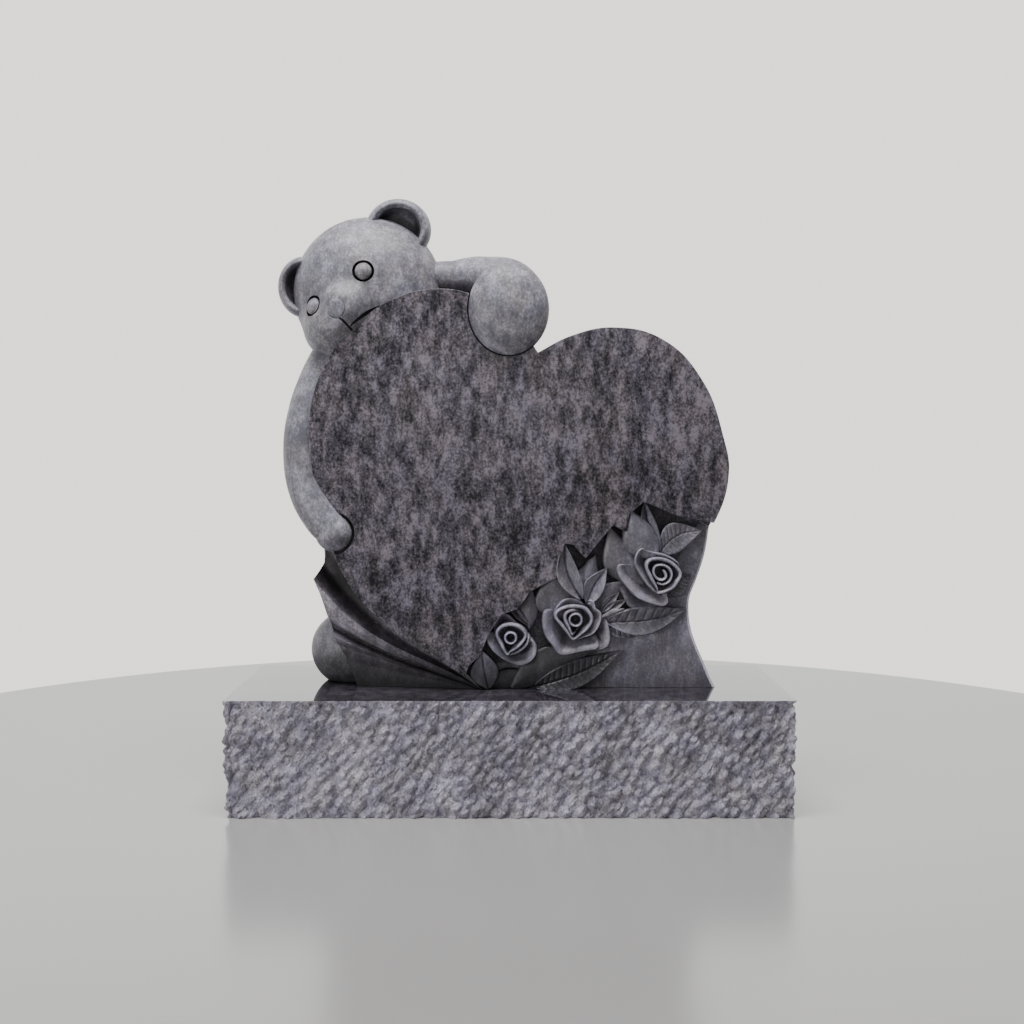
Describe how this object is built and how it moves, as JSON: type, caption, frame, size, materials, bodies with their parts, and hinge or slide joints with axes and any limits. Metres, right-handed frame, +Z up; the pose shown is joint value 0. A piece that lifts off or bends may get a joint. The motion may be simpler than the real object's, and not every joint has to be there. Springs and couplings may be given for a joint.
{
  "type": "headstone",
  "caption": "Upright granite headstone: a heart tablet carved with a hugging teddy bear, a fan of folds and a spray of roses, on a rock-pitched base.",
  "frame": {"origin": "middle of the base's underside", "axes": "+Z up, +X to the right of someone who faces the heart, +Y from the front to the back"},
  "size_m": [0.762, 0.305, 0.8373],
  "materials": {
    "carved_granite": "polished on the heart's faces, honed on the carving",
    "pitched_granite": "polished on top, rock-pitched on the four sides"
  },
  "bodies": {
    "root": {"heart_tablet": "carved_granite", "rock_pitched_base": "pitched_granite"}
  },
  "joints": []
}
